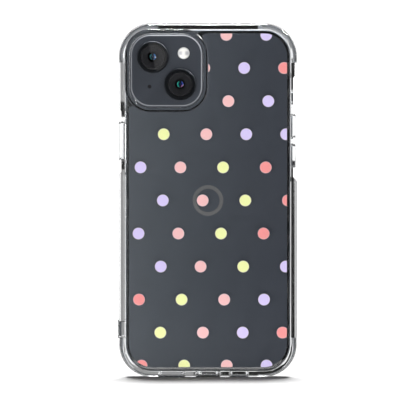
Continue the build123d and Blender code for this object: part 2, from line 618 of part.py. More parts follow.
SCREW_HEAD_R, SCREW_SHANK_R, SCREW_HEAD_T, SCREW_PLAY = 1.2, 0.8, 0.5, 0.05
PLUG_X, PLUG_T, PLUG_LEN = (4.0, 8.6), 0.6, 3.0
LEAD_X, LEAD_Z = (-2.0, 0.2), (42.4, 43.8)
TONGUE_X, TONGUE_Y, TONGUE_OUT, TONGUE_EDGE = 6.7, 0.7, 1.2, 0.2
PORT_SCREW_HEAD, PORT_SCREW_LEN, PORT_SCREW_SHANK_R = 0.8, 4.2, 0.7
SPEAKER_X, SPEAKER_Z, SPEAKER_BACK, SPEAKER_WALL = (-30.5, -9.4), (-70.8, -52.0), -1.4, 0.7
CONE_AT, CONE_W, CONE_H, CONE_R, CONE_T, CONE_DOME_R = (-20.0, -61.0), 13.5, 11.0, 3.0, 0.2, 3.0
CONE_Y, BAFFLE_Y, CONE_GAP = 0.35, (0.3, 0.6), 0.3
HAPTIC_X, HAPTIC_Z, HAPTIC_BACK, HAPTIC_WALL = (10.0, 29.5), (-60.5, -50.0), -1.4, 0.4
HAPTIC_SWING, HAPTIC_PLAY, HAPTIC_R = 0.5, 0.25, 1.0
MIC_X, MIC_Y, MIC_Z = (9.8, 17.0), 1.8, (-71.1, -69.4)


def charging_coil():
    return ring((0, COIL_Z), COIL_R, COIL_HOLE_R, COIL_OUT, COIL_IN)


def charging_magnets():
    """Alignment ring of separate magnets, open at the bottom for the coil's leads."""
    band = ring((0, COIL_Z), MAGNET_OUT, MAGNET_IN, COIL_OUT, COIL_IN)
    step = MAGNET_ARC / MAGNET_COUNT
    magnets = []
    for i in range(MAGNET_COUNT):
        ends = [math.radians(MAGNET_START + i * step + turn) for turn in (0, step - MAGNET_GAP)]
        corners = [(2 * MAGNET_OUT * math.cos(end), 2 * MAGNET_OUT * math.sin(end)) for end in ends]
        wedge = make_face(Polyline((0, 0), *corners, close=True))
        magnets += (band & slab(Pos(0, COIL_Z) * wedge, CAMERA_RIM, CASE_FRONT)).solids()
    return Compound(magnets)


def battery():
    cell = block(CELL_X, (CELL_BACK, PLATE_BACK), CELL_Z)
    return fillet(cell.edges().filter_by(Axis.Z), CELL_R)


def battery_flex():
    """Flat lead from the battery's top, across to its plug on the board."""
    top = BOARD_BACK - PLUG_T
    lead = block(LEAD_X, (top, top + FLEX_T), (CELL_Z[1], LEAD_Z[1]))
    lead += block((LEAD_X[0], PLUG_X[1]), (top, top + FLEX_T), LEAD_Z)
    return lead + block(PLUG_X, (top, BOARD_BACK), LEAD_Z)


def logic_board():
    board = block(BOARD_X, (BOARD_BACK, PLATE_BACK), BOARD_Z)
    board += block(BOARD_ARM_X, (BOARD_BACK, PLATE_BACK), BOARD_ARM_Z)
    for at in BOARD_SCREWS:
        board -= disc(at, SCREW_SHANK_R + SCREW_PLAY, BOARD_BACK - PAST, PLATE_BACK + PAST)
    return board


def board_shields():
    """Pressed metal cans over the circuits."""
    cans = []
    for x, z in CANS:
        inside = block(grown(x, -CAN_WALL), (CELL_BACK + CAN_WALL, BOARD_BACK + PAST), grown(z, -CAN_WALL))
        cans += (block(x, (CELL_BACK, BOARD_BACK), z) - inside).solids()
    return Compound(cans)


def board_chips():
    return Compound([block(x, (BOARD_BACK - CHIP_T, BOARD_BACK), z).solid() for x, z in CHIPS])


def board_screw(at):
    """Small screw with a hexagon recess in its head."""
    head = disc(at, SCREW_HEAD_R, BOARD_BACK - SCREW_HEAD_T, BOARD_BACK)
    head -= slab(Pos(*at) * RegularPolygon(SCREW_HEAD_R / 2, 6), BOARD_BACK - PAST, BOARD_BACK - SCREW_HEAD_T / 2)
    return (head + disc(at, SCREW_SHANK_R, BOARD_BACK, PLATE_BACK)).solid()


def display_flex():
    """Flat lead from the display, through the mid plate, to its plug on the board."""
    top = BOARD_BACK - PLUG_T
    lead = block(FLEX_X, (top, top + FLEX_T), FLEX_Z)
    lead += block(FLEX_X, (top, PLATE_FRONT + DISPLAY_GAP), (FLEX_Z[0], FLEX_Z[0] + FLEX_T))
    return lead + block(FLEX_X, (top, BOARD_BACK), (FLEX_Z[1] - FLEX_T, FLEX_Z[1] + PLUG_LEN))


def usb_shell():
    """Steel sleeve of the port, closed at its inner end."""
    outer = (USB_W - 2 * HAIR, USB_T - 2 * HAIR)
    inner = (USB_W - 2 * USB_WALL, USB_T - 2 * USB_WALL)
    at = Pos(0, MID_Y)
    foot, floor = -PHONE_TOP, -PHONE_TOP + USB_DEEP
    sleeve = tower(at * RectangleRounded(*outer, outer[1] / 2 - HAIR), foot + SLIP, floor + USB_BACK_T)
    return sleeve - tower(at * RectangleRounded(*inner, inner[1] / 2 - HAIR), foot - PAST, floor)


def usb_tongue():
    tongue = block(about(0, TONGUE_X), about(MID_Y, TONGUE_Y), (-PHONE_TOP + TONGUE_OUT, -PHONE_TOP + USB_DEEP))
    return chamfer(tongue.faces().sort_by(Axis.Z)[0].edges(), TONGUE_EDGE)


def bottom_screw(x):
    """Screw beside the port, its head just inside the band's outer face."""
    at = Pos(x, MID_Y)
    under_head = -PHONE_TOP + SLIP + PORT_SCREW_HEAD
    head = tower(at * Circle(SCREW_R - HAIR), -PHONE_TOP + SLIP, under_head)
    shank = tower(at * Circle(PORT_SCREW_SHANK_R), under_head, -PHONE_TOP + PORT_SCREW_LEN)
    recess = tower(at * RegularPolygon(SCREW_R / 2, 6), -PHONE_TOP, under_head - PORT_SCREW_HEAD / 2)
    return (head + shank - recess).solid()


def loudspeaker_box():
    """Speaker box with a mouth towards the grille holes and a baffle round the cone."""
    box = block(SPEAKER_X, (SPEAKER_BACK, PLATE_BACK), SPEAKER_Z)
    box &= slab(phone_outline(BAND_T + FIT), SPEAKER_BACK, PLATE_BACK)
    room = slab(phone_outline(BAND_T + FIT + SPEAKER_WALL), SPEAKER_BACK + SPEAKER_WALL, PLATE_BACK - SPEAKER_WALL)
    room &= block(grown(SPEAKER_X, -SPEAKER_WALL), (CAMERA_RIM, CASE_FRONT), grown(SPEAKER_Z, -SPEAKER_WALL))
    window = Pos(*CONE_AT) * RectangleRounded(CONE_W + 2 * CONE_GAP, CONE_H + 2 * CONE_GAP, CONE_R + CONE_GAP)
    baffle = (room & block(SPEAKER_X, BAFFLE_Y, SPEAKER_Z)) - slab(window, CAMERA_RIM, CASE_FRONT)
    mouth = (SPEAKER_X0 - (SPEAKER_COUNT - 1) * GRILLE_PITCH - GRILLE_R, SPEAKER_X0 + GRILLE_R)
    mouth_y = (BAFFLE_Y[1], PLATE_BACK - SPEAKER_WALL)
    return box - room + baffle - block(mouth, mouth_y, about(SPEAKER_Z[0], 4 * SPEAKER_WALL))


def loudspeaker_cone():
    """Domed diaphragm that moves in the baffle's window."""
    cone = slab(Pos(*CONE_AT) * RectangleRounded(CONE_W, CONE_H, CONE_R), CONE_Y, CONE_Y + CONE_T)
    return cone + disc(CONE_AT, CONE_DOME_R, CONE_Y - CONE_T, CONE_Y)


def haptic_room(gap):
    """The space inside the motor's housing, drawn in by a gap."""
    inset = -HAPTIC_WALL - gap
    return grown(HAPTIC_X, inset), grown((HAPTIC_BACK, PLATE_BACK), inset), grown(HAPTIC_Z, inset)


def haptic_housing():
    return block(HAPTIC_X, (HAPTIC_BACK, PLATE_BACK), HAPTIC_Z) - block(*haptic_room(0))


def haptic_mass():
    x, y, z = haptic_room(HAPTIC_PLAY)
    mass = block(grown(x, -HAPTIC_SWING), y, z)
    return fillet(mass.edges().filter_by(Axis.Y), HAPTIC_R)


def bottom_microphone():
    return block(MIC_X, about(MID_Y, MIC_Y), MIC_Z)


# ================================================================ everything, by node name
def save_case():
    panel = case_panel()
    save("case_back_panel", panel)
    save("case_bumper", case_bumper(panel))
    save("volume_up_cover", button_cover(1, VOLUME_UP_Z, VOLUME_LEN, VOLUME_RECESS))
    save("volume_down_cover", button_cover(1, VOLUME_DOWN_Z, VOLUME_LEN, VOLUME_RECESS))
    save("side_button_cover", button_cover(-1, POWER_Z, POWER_LEN, POWER_RECESS))


def save_print():
    base_back = PANEL_OUT - INK_T
    save("print_white_base", printed("LPYC", DOT_R, base_back, PANEL_OUT))
    for name, letter in (("lavender", "L"), ("pink", "P"), ("yellow", "Y"), ("coral", "C")):
        save(f"print_{name}_dots", printed(letter, DOT_R - BASE_RIM, base_back - INK_T, base_back))


def save_shell():
    chassis, strips = chassis_and_bands()
    save("chassis", chassis)
    save("antenna_bands", strips)
    save("back_glass", back_glass())
    save("back_emblem", emblem())


def save_cameras():
    for name, at, side in (("main", MAIN_AT, MAIN_CAN), ("ultrawide", WIDE_AT, WIDE_CAN)):
        save(f"{name}_camera_bezel", camera_bezel(at))
        save(f"{name}_camera_cover_glass", camera_cover(at))
        save(f"{name}_camera_housing", camera_housing(at, side))
        save(f"{name}_camera_sensor", camera_sensor(at))
        save(f"{name}_lens_barrel", lens_barrel(at))
        save(f"{name}_front_lens", front_lens(at))
    save("flash_lens", flash_lens())
    save("flash_led", flash_led())
    save("rear_microphone", rear_microphone())


def save_controls():
    for name, (side, z, length) in zip(("volume_up", "volume_down", "side"), BUTTONS):
        save(f"{name}_button", side_button(side, z, length))
    save("button_contacts", Compound([button_contact(*button).solid() for button in BUTTONS]))
    save("ring_switch", ring_switch())
    save("ring_switch_base", switch_base())


def save_screen():
    save("front_glass", front_glass())
    save("screen_seal", screen_seal())
    save("display_panel", display_panel())
    save("front_camera", front_camera())
    save("front_camera_lens", front_camera_lens())
    save("earpiece_mesh", earpiece_slot(SLIP, SCREEN_BACK, PHONE_FRONT - 2 * SLIP))
    save("earpiece_speaker", earpiece())


def save_inside():
    save("charging_coil", charging_coil())
    save("charging_magnets", charging_magnets())
    save("battery", battery())
    save("battery_flex", battery_flex())
    save("logic_board", logic_board())
    save("board_shields", board_shields())
    save("board_chips", board_chips())
    save("board_screws", Compound([board_screw(at) for at in BOARD_SCREWS]))
    save("display_flex", display_flex())
    save("loudspeaker_box", loudspeaker_box())
    save("loudspeaker_cone", loudspeaker_cone())
    save("haptic_housing", haptic_housing())
    save("haptic_mass", haptic_mass())


def save_bottom():
    save("usb_c_shell", usb_shell())
    save("usb_c_tongue", usb_tongue())
    save("bottom_screws", Compound([bottom_screw(x) for x in (-SCREW_X, SCREW_X)]))
    save("bottom_microphone", bottom_microphone())


os.makedirs("parts", exist_ok=True)
save_case()
save_print()
save_shell()
save_cameras()
save_controls()
save_screen()
save_inside()
save_bottom()
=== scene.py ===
"""A smartphone in a clear dotted case: materials, fine fittings, light and camera round the model."""
import json
import math

import bmesh
import bpy
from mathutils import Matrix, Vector


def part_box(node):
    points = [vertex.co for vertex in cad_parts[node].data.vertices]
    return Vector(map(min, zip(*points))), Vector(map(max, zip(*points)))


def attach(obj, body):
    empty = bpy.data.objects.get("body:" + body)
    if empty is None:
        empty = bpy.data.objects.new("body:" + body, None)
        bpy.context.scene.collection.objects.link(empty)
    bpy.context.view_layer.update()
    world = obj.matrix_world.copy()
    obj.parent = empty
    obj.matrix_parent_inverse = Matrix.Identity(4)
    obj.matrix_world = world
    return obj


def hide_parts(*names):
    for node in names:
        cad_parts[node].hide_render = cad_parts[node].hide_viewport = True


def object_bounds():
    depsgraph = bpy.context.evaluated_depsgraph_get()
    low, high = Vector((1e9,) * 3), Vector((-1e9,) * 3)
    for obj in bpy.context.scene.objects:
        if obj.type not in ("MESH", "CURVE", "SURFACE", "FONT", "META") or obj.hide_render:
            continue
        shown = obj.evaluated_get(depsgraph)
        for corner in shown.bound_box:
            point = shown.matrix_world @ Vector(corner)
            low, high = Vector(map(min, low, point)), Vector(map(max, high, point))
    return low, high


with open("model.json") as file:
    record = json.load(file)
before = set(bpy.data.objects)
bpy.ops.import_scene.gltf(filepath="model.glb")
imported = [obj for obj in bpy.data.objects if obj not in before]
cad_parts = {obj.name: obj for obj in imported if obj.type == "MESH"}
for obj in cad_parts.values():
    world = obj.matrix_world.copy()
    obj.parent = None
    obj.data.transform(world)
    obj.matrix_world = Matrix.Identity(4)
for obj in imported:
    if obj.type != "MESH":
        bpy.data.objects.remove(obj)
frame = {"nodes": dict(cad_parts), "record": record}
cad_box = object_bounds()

NODES = frame["nodes"]
MM = 0.001
NOISE_LOW, NOISE_HIGH = 0.3, 0.7  # most of a noise's values lie between these
MIX_SHARE, MIX_A, MIX_B, MIX_RESULT = 0, 6, 7, 2  # a Mix node's sockets for colours
LEFT, RIGHT = -1, 1


# ---------------------------------------------------------------- node helpers
class Paint:
    """One procedural material: a Principled shader, and short calls for the nodes that feed it."""

    def __init__(self, name, **sockets):
        self.mat = bpy.data.materials.new(name)
        self.mat.use_nodes = True
        self.tree = self.mat.node_tree
        self.shader = next(n for n in self.tree.nodes if n.type == "BSDF_PRINCIPLED")
        self.output = next(n for n in self.tree.nodes if n.type == "OUTPUT_MATERIAL")
        for socket, value in sockets.items():
            self.shader.inputs[socket.replace("_", " ")].default_value = value
        self.place = self.node("ShaderNodeTexCoord").outputs["Object"]

    def node(self, kind, links=(), **values):
        """A node; values that name a property set it, and others set the input of that name."""
        made = self.tree.nodes.new(kind)
        for key, value in values.items():
            if hasattr(made, key):
                setattr(made, key, value)
            else:
                made.inputs[key.replace("_", " ")].default_value = value
        for socket, source in dict(links).items():
            self.tree.links.new(source, made.inputs[socket])
        return made

    def set_or_link(self, socket, value):
        """Give a socket a number, a colour, or the output of another node."""
        if isinstance(value, (tuple, list)):
            socket.default_value = (*value, 1)
        elif isinstance(value, (int, float)):
            socket.default_value = value
        else:
            self.tree.links.new(value, socket)

    def feed(self, socket, source):
        self.tree.links.new(source, self.shader.inputs[socket])
        return self

    def noise(self, size, detail=2.0):
        """Noise whose blobs are about size metres across."""
        made = self.node("ShaderNodeTexNoise", {"Vector": self.place}, Scale=1 / size, Detail=detail)
        return made.outputs["Fac"]

    def ramp(self, source, *stops):
        """Colours or grey levels at places from 0 to 1."""
        made = self.node("ShaderNodeValToRGB", {"Fac": source})
        marks = made.color_ramp.elements
        while len(marks) < len(stops):
            marks.new(0.5)
        for mark, (at, colour) in zip(marks, stops):
            mark.position = at
            mark.color = (*colour, 1) if hasattr(colour, "__len__") else (colour, colour, colour, 1)
        return made.outputs["Color"]

    def mottle(self, noise, low, high):
        """Colours or grey levels from low to high over a noise's usual values."""
        return self.ramp(noise, (NOISE_LOW, low), (NOISE_HIGH, high))

    def span(self, source, low, high, to_low=0.0, to_high=1.0):
        """The source moved from the range low to high onto the range to_low to to_high, and held there."""
        made = self.node("ShaderNodeMapRange", {"Value": source}, clamp=True)
        for socket, value in enumerate((low, high, to_low, to_high), start=1):
            made.inputs[socket].default_value = value
        return made.outputs[0]

    def maths(self, operation, a, b=0.0):
        made = self.node("ShaderNodeMath", operation=operation)
        for socket, value in zip(made.inputs, (a, b)):
            self.set_or_link(socket, value)
        return made.outputs[0]

    def blend(self, share, a, b, way="MIX"):
        """Colour a where share is 0, b (or their product) where it is 1."""
        made = self.node("ShaderNodeMix", data_type="RGBA", blend_type=way)
        for socket, value in ((MIX_SHARE, share), (MIX_A, a), (MIX_B, b)):
            self.set_or_link(made.inputs[socket], value)
        return made.outputs[MIX_RESULT]

    def axis(self, letter):
        return self.node("ShaderNodeSeparateXYZ", {0: self.place}).outputs[letter]

    def radius(self, x, z):
        """Distance from the line along Y through (x, z)."""
        shifted = self.node("ShaderNodeVectorMath", {0: self.place}, operation="SUBTRACT")
        shifted.inputs[1].default_value = (x, 0, z)
        flat = self.node("ShaderNodeVectorMath", {0: shifted.outputs[0]}, operation="MULTIPLY")
        flat.inputs[1].default_value = (1, 0, 1)
        return self.node("ShaderNodeVectorMath", {0: flat.outputs[0]}, operation="LENGTH").outputs["Value"]

    def bump(self, height, depth):
        """Relief of about depth metres."""
        made = self.node("ShaderNodeBump", {"Height": height}, Strength=1.0, Distance=depth)
        return self.feed("Normal", made.outputs[0])

    def rough(self, noise, low, high):
        return self.feed("Roughness", self.span(noise, NOISE_LOW, NOISE_HIGH, low, high))

    def tone(self, noise, low, high):
        return self.feed("Base Color", self.mottle(noise, low, high))


def srgb(r, g, b):
    """A display colour of 0 to 255 as linear light."""
    return tuple(((c / 255 + 0.055) / 1.055) ** 2.4 if c > 10 else c / 255 / 12.92 for c in (r, g, b))


def times(colour, by):
    return tuple(min(1.0, c * by) for c in colour)


# ---------------------------------------------------------------- materials
def clear_plastic(name, tint, ior, haze, depth_tint=None, coated=0.5):
    """Clear plastic or glass, of roughness haze from and to; depth_tint is the colour and density inside."""
    paint = Paint(name, Transmission_Weight=1.0, IOR=ior, Base_Color=(*tint, 1), Specular_IOR_Level=coated)
    paint.rough(paint.noise(6 * MM), *haze)
    if depth_tint:
        colour, density = depth_tint
        fog = paint.node("ShaderNodeVolumeAbsorption", Density=density, Color=(*colour, 1))
        paint.tree.links.new(fog.outputs[0], paint.output.inputs["Volume"])
    return paint.bump(paint.noise(14 * MM, 1.0), 0.004 * MM)


def ink(name, colour):
    """Printed ink, kept below the colour that it should show, because the studio is bright."""
    paint = Paint(name, Specular_IOR_Level=0.3)
    speck = paint.noise(0.35 * MM, 1.0)
    paint.tone(speck, times(colour, 0.84), times(colour, 0.90))
    paint.rough(paint.noise(0.6 * MM), 0.42, 0.55)
    return paint.bump(speck, 0.006 * MM)


def anodised(name, colour, rough=(0.30, 0.38)):
    """Bare or anodised metal with a fine blasted grain."""
    paint = Paint(name, Metallic=1.0)
    grain = paint.noise(0.12 * MM, 3.0)
    paint.tone(grain, times(colour, 0.9), times(colour, 1.1))
    paint.rough(paint.noise(5 * MM), *rough)
    return paint.bump(grain, 0.003 * MM)


def moulded(name, colour, rough=(0.4, 0.55), grain=0.25, depth=0.01, gloss=0.5):
    """Opaque plastic, rubber, wrap or resin; grain is its speck and depth its relief, in millimetres."""
    paint = Paint(name, Specular_IOR_Level=gloss)
    speck = paint.noise(grain * MM, 3.0)
    paint.tone(speck, times(colour, 0.85), times(colour, 1.15))
    paint.rough(paint.noise(3 * MM), *rough)
    return paint.bump(speck, depth * MM)


def back_glass_paint():
    """Frosted dark glass, polished on the slope between the back and the camera island's face, where a paler
    base colour paints a highlight.
    """
    paint = Paint("frosted_back_glass", Specular_IOR_Level=0.25)
    deep = paint.mottle(paint.noise(30 * MM, 1.0), (0.040, 0.046, 0.058), (0.043, 0.049, 0.061))
    cloud = paint.mottle(paint.noise(0.2 * MM, 3.0), 0.93, 1.0)
    frosted = paint.blend(1.0, deep, cloud, "MULTIPLY")
    depth = paint.axis("Y")
    island_y, back_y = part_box("back_glass")[0].y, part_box("back_emblem")[0].y
    polished_and_highlit = paint.maths("MULTIPLY", paint.span(depth, island_y + 0.02 * MM, island_y + 0.06 * MM),
                           paint.span(depth, back_y - 0.04 * MM, back_y - 0.1 * MM))
    # Painted highlight: the slope's base colour is paler than the glass, so its edge shows as a light line.
    paint.feed("Base Color", paint.blend(polished_and_highlit, frosted, (0.21, 0.22, 0.24)))
    frost = paint.span(paint.noise(9 * MM), NOISE_LOW, NOISE_HIGH, 0.38, 0.46)
    paint.feed("Roughness", paint.maths("MULTIPLY", frost, paint.span(polished_and_highlit, 0, 1, 1.0, 0.3)))
    return paint.bump(paint.noise(0.15 * MM, 2.0), 0.002 * MM)


def glint_painted_lens(name, centre, left, right, lower_glint):
    """Dark lens element with painted glints: coloured crescents left and right of its middle and a dot at its
    middle, painted in its base colour for its coatings' reflections.
    """
    inner_edge, outer_edge = (0.6 * MM, 0.85 * MM), (1.3 * MM, 1.2 * MM)
    side_from, side_to = 0.25 * MM, 0.55 * MM
    paint = Paint(name, Specular_IOR_Level=0.05)
    across = paint.maths("SUBTRACT", paint.axis("X"), centre[0])
    below = paint.maths("SUBTRACT", centre[1], paint.axis("Z"))
    far = paint.radius(*centre)
    ring = paint.maths("MULTIPLY", paint.span(far, *inner_edge), paint.span(far, *outer_edge))
    on_left = paint.maths("MULTIPLY", ring, paint.span(across, -side_from, -side_to))
    on_right = paint.maths("MULTIPLY", ring, paint.span(across, side_from, side_to))
    # Painted glints: a crescent on the left, and one on the right that turns to the lower glint colour
    # further down.
    colour = paint.blend(on_left, (0.004, 0.005, 0.006), left)
    tint = paint.ramp(paint.span(below, -0.5 * MM, 0.9 * MM), (0.3, right), (0.8, lower_glint))
    colour = paint.blend(on_right, colour, tint)
    # A painted glint dot at the middle.
    colour = paint.blend(paint.span(far, 0.2 * MM, 0.1 * MM), colour, times(right, 1.3))
    paint.feed("Base Color", colour)
    paint.rough(paint.noise(0.5 * MM), 0.04, 0.1)
    return paint.bump(paint.noise(0.8 * MM, 1.0), 0.001 * MM)


PAINTS = {
    "clear_soft": clear_plastic("clear_soft_plastic", (0.985, 0.99, 0.995), 1.49, haze=(0.02, 0.05),
                                depth_tint=((0.5, 0.51, 0.52), 16)),
    "clear_hard": clear_plastic("clear_hard_plastic", (0.99, 0.993, 0.996), 1.5, haze=(0.0, 0.015)),
    "white_ink": ink("white_under_print", srgb(206, 200, 205)),
    "lavender_ink": ink("lavender_print", srgb(216, 203, 247)),
    "pink_ink": ink("pink_print", srgb(246, 193, 193)),
    "yellow_ink": ink("yellow_print", srgb(242, 248, 174)),
    "coral_ink": ink("coral_print", srgb(247, 153, 152)),
    "dark_aluminium": anodised("dark_anodised_aluminium", (0.080, 0.088, 0.100)),
    "antenna_plastic": moulded("antenna_break", (0.06, 0.067, 0.075)),
    "back_glass": back_glass_paint(),
    # The ring's base colour is paler than the back glass, a painted sheen; its low roughness is real polish.
    "emblem": moulded("polished_ring", (0.105, 0.105, 0.106), (0.12, 0.18),
                      grain=0.1, depth=0.001, gloss=0.25),
    "lens_glass": clear_plastic("lens_glass", (0.97, 0.985, 0.99), 1.5, haze=(0.0, 0.01), coated=0.1),
    "lens_black": moulded("lens_black", (0.021, 0.021, 0.024), (0.5, 0.6), grain=0.1, depth=0.004, gloss=0.2),
    "camera_steel": anodised("pressed_steel", (0.45, 0.45, 0.46), (0.25, 0.4)),
    "sensor": moulded("sensor", (0.01, 0.02, 0.03), (0.08, 0.15)),
    "flash_lens": moulded("flash_lens", (0.95, 0.945, 0.93), (0.12, 0.2), grain=0.6),
    "flash_led": moulded("flash_led", (0.85, 0.62, 0.12)),
    "switch_metal": anodised("switch_metal", (0.14, 0.155, 0.175)),
    "front_glass": clear_plastic("front_glass", (0.9, 0.91, 0.93), 1.5, haze=(0.0, 0.03)),
    "display": moulded("display", (0.003, 0.003, 0.004), (0.1, 0.16), grain=2.0, depth=0.0005),
    "seal": moulded("rubber_seal", (0.02, 0.02, 0.021), (0.6, 0.8)),
    "earpiece": moulded("black_moulding", (0.02, 0.02, 0.022)),
    "cone": moulded("speaker_cone", (0.05, 0.05, 0.055)),
    "copper": anodised("copper_wire", (0.75, 0.33, 0.16)),
    "magnets": anodised("plated_magnet", (0.55, 0.55, 0.57), (0.1, 0.2)),
    "battery": moulded("battery_wrap", (0.02, 0.02, 0.023), (0.3, 0.5), grain=1.0, depth=0.05),
    "flex": moulded("flexible_circuit", (0.42, 0.2, 0.04)),
    "board": moulded("circuit_board", (0.01, 0.05, 0.03)),
    "chips": moulded("chip_resin", (0.02, 0.02, 0.021)),
}
SOFT_CLEAR = ("case_bumper", "volume_up_cover", "volume_down_cover", "side_button_cover")
FLAT_CLEAR = ("case_back_panel", "main_camera_cover_glass", "ultrawide_camera_cover_glass", "front_glass",
              "front_camera_lens")


def paint_nodes():
    slot_of = {part["node"]: part["material_slot"] for part in frame["record"]["subparts"]}
    for name, obj in NODES.items():
        obj.data.materials.clear()
        obj.data.materials.append(PAINTS[slot_of[name]].mat)


def let_light_through():
    """Clear pieces throw no shadow, bounced light passes them, and gloss doesn't show the flat ones."""
    for name in SOFT_CLEAR + FLAT_CLEAR:
        NODES[name].visible_shadow = NODES[name].visible_diffuse = False
    for name in FLAT_CLEAR:
        NODES[name].visible_glossy = False


# ---------------------------------------------------------------- fine fittings
def centre_of(node):
    low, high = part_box(node)
    return (low + high) / 2


def placed(name, shape, paint, body):
    """The finished bmesh as an object in the scene, riding on a body."""
    mesh = bpy.data.meshes.new(name)
    shape.to_mesh(mesh)
    shape.free()
    mesh.materials.append(paint.mat)
    made = bpy.data.objects.new(name, mesh)
    bpy.context.scene.collection.objects.link(made)
    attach(made, body)
    return made


def turned(name, profile, centre, paint, body, steps=64):
    """A piece turned about the line along Y through centre, from (radius, y) places; closed on the axis."""
    shape = bmesh.new()
    rings = []
    for radius, y in profile:
        count = 1 if radius == 0 else steps
        rings.append([shape.verts.new((centre[0] + radius * math.cos(math.tau * i / steps), y,
                                       centre[1] + radius * math.sin(math.tau * i / steps)))
                      for i in range(count)])
    for one, two in zip(rings, rings[1:]):
        for i in range(steps):
            j = (i + 1) % steps
            corners = [one[i % len(one)], one[j % len(one)], two[j % len(two)], two[i % len(two)]]
            shape.faces.new(list(dict.fromkeys(corners)))
    bmesh.ops.recalc_face_normals(shape, faces=shape.faces)
    for face in shape.faces:
        face.smooth = True
    return placed(name, shape, paint, body)


def add_inner_lens(camera, body, left, right, lower_glint):
    """Coated element in the bore behind a camera's front lens, its face a shallow dome with glints painted on
    it.
    """
    radius, fall, gap = 1.27 * MM, 0.3 * MM, 0.03 * MM
    middle = centre_of(f"{camera}_front_lens")
    centre = (middle.x, middle.z)
    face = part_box(f"{camera}_front_lens")[1].y + gap
    dome = [(radius * t, face + fall * t * t) for t in (0, 0.15, 0.3, 0.45, 0.6, 0.75, 0.9, 1.0)]
    rear = face + 2 * fall
    painted_glints = glint_painted_lens(f"{camera}_coating", centre, left, right, lower_glint)
    turned(f"{camera}_inner_lens", [*dome, (radius, rear), (0, rear)], centre, painted_glints, body)


def flash_paint(centre, radius):
    """Pale plastic, grey in a lobe on each side and towards the rim."""
    paint = Paint("flash_fresnel", Specular_IOR_Level=0.6)
    x, z = (paint.maths("ABSOLUTE", paint.maths("SUBTRACT", paint.axis(letter), middle))
            for letter, middle in zip("XZ", centre))
    lobes = paint.maths("MULTIPLY", paint.span(x, 0.3 * MM, 1.1 * MM), paint.span(z, 1.3 * MM, 0.4 * MM))
    rim = paint.span(paint.radius(*centre), radius * 0.72, radius * 0.95)
    shade = paint.blend(lobes, (0.9, 0.89, 0.85), (0.5, 0.5, 0.52))
    paint.feed("Base Color", paint.blend(rim, shade, (0.55, 0.56, 0.55)))
    paint.rough(paint.noise(0.5 * MM), 0.12, 0.22)
    return paint.bump(paint.noise(0.3 * MM, 1.0), 0.003 * MM)


def add_flash():
    """Flash lens with fresnel steps on its face, in place of the plain disc."""
    low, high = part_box("flash_lens")
    middle, radius = centre_of("flash_lens"), (high.x - low.x) / 2
    centre = (middle.x, middle.z)
    steps, ridge, groove, wall = 6, 0.03 * MM, 0.1 * MM, 0.03 * MM
    profile = [(0, low.y + groove / 2)]
    for i in range(1, steps):
        at = radius * (0.25 + 0.62 * i / steps)
        profile += [(at - wall, low.y + groove * (0.4 + 0.1 * i)), (at, low.y + ridge)]
    profile += [(radius * 0.9, low.y + 0.02 * MM), (radius * 0.94, low.y), (radius * 0.99, low.y + ridge),
                (radius, low.y + groove), (radius, high.y), (0, high.y)]
    made = turned("flash_fresnel", profile, centre, flash_paint(centre, radius), "phone")
    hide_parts("flash_lens")


def add_contacts():
    """Gold contact pads on both faces of the charging port's tongue, the power and ground ones longer."""
    count, pitch, wide, inset = 12, 0.5 * MM, 0.27 * MM, 0.7 * MM
    short, long, longer_ones = 2.9 * MM, 3.4 * MM, (0, 3, 8, 11)
    proud, sunk, rounding = 0.03 * MM, 0.02 * MM, 0.012 * MM
    low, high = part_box("usb_c_tongue")
    shape = bmesh.new()
    for face_y, way in ((low.y, -1), (high.y, 1)):
        for i in range(count):
            tall = long if i in longer_ones else short
            x = centre_of("usb_c_tongue").x + (i - (count - 1) / 2) * pitch
            pad = bmesh.ops.create_cube(shape, size=1.0)["verts"]
            bmesh.ops.scale(shape, verts=pad, vec=(wide, proud + sunk, tall))
            bmesh.ops.translate(shape, verts=pad, vec=(x, face_y + way * (proud - sunk) / 2,
                                                       low.z + inset + tall / 2))
    bmesh.ops.bevel(shape, geom=shape.edges[:], offset=rounding, segments=1, affect="EDGES")
    gold = anodised("gold_contacts", (0.83, 0.58, 0.24), (0.2, 0.32))
    placed("usb_c_contacts", shape, gold, "phone")


# ---------------------------------------------------------------- floor, lamps, world and camera
CAMERA_FAR, CAMERA_UP = 2.5, math.radians(3)
FRAME_TALL, CENTRE = 0.1795, Vector((0, -0.004, 0.0733))  # what the picture takes in at the object


def facing(left, right, y, low, high):
    """Corners of an upright rectangle that faces along Y."""
    return [(left, y, low), (right, y, low), (right, y, high), (left, y, high)]


def level(left, right, front, rear, z):
    """Corners of a level rectangle."""
    return [(left, front, z), (right, front, z), (right, rear, z), (left, rear, z)]


def sheet(name, corners, paint):
    """One flat four-sided stage piece."""
    mesh = bpy.data.meshes.new(name)
    mesh.from_pydata(corners, [], [(0, 1, 2, 3)])
    mesh.materials.append(paint.mat)
    made = bpy.data.objects.new(name, mesh)
    bpy.context.scene.collection.objects.link(made)
    return made


def add_floor(half=40.0, under=0.15 * MM):
    paint = Paint("pale_floor", Roughness=1.0, Specular_IOR_Level=0.0)
    paint.tone(paint.noise(0.3), (0.88, 0.88, 0.88), (0.9, 0.9, 0.9))
    floor = sheet("floor", level(-half, half, -half, half, -under), paint)
    floor.visible_glossy = False


def aim(obj, place, target):
    obj.location = place
    obj.rotation_mode = "QUATERNION"
    obj.rotation_quaternion = (Vector(target) - Vector(place)).to_track_quat("-Z", "Y")
    bpy.context.scene.collection.objects.link(obj)
    return obj


def receivers(lamp, objects, state):
    """Light linking: the lamp or card shines on these objects only, or on all but these."""
    group = bpy.data.collections.new(f"{lamp.name}_receivers")
    for obj in objects:
        group.objects.link(obj)
    for linked in group.collection_objects:
        linked.light_linking.link_state = state
    lamp.light_linking.receiver_collection = group


